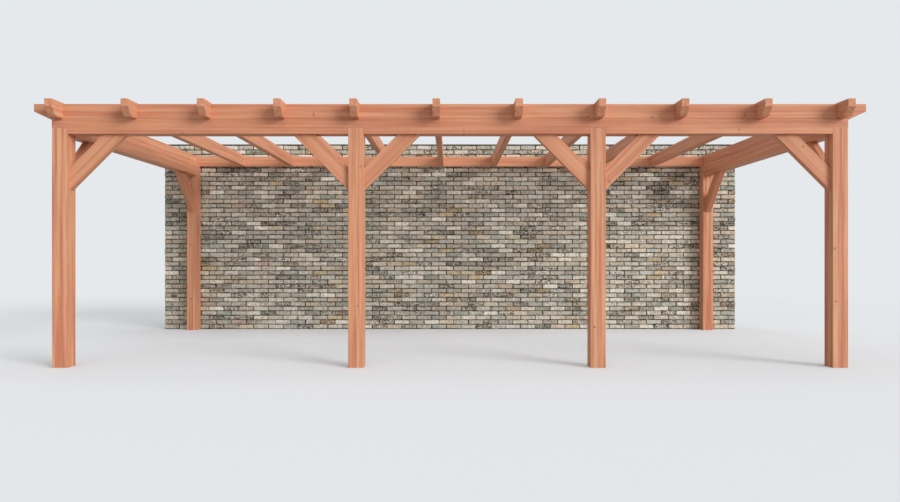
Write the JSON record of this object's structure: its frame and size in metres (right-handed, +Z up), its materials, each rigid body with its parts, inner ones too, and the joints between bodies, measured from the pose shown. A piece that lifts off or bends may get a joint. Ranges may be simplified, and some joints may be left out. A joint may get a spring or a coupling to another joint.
{
  "type": "attached timber veranda frame with brick wall",
  "caption": "Open timber veranda frame with flat rafters, notched beams and corner braces, standing against a free end of brick wall.",
  "frame": {"origin": "on the ground, under the middle of the bounding box", "axes": "+X along the front to the right as seen from outside, +Y from the open front to the wall, +Z up"},
  "size_m": [8.245, 3.804, 2.6732],
  "materials": {
    "timber": "planed, stained, matt",
    "brickwork": "weathered brick with recessed joints"
  },
  "bodies": {
    "root": {"front_post_1": "timber", "front_post_2": "timber", "front_post_3": "timber", "front_post_4": "timber", "back_post_left": "timber", "back_post_right": "timber", "side_beam_left": "timber", "side_beam_right": "timber", "front_beam_lower": "timber", "front_beam_upper": "timber", "wall_plate": "timber", "rafter_1": "timber", "rafter_2": "timber", "rafter_3": "timber", "rafter_4": "timber", "rafter_5": "timber", "rafter_6": "timber", "rafter_7": "timber", "rafter_8": "timber", "rafter_9": "timber", "rafter_10": "timber", "rafter_11": "timber", "front_brace_1_right": "timber", "front_brace_2_right": "timber", "front_brace_3_right": "timber", "front_brace_2_left": "timber", "front_brace_3_left": "timber", "front_brace_4_left": "timber", "side_brace_left_front": "timber", "side_brace_left_back": "timber", "side_brace_right_front": "timber", "side_brace_right_back": "timber", "brick_wall": "brickwork"}
  },
  "joints": []
}
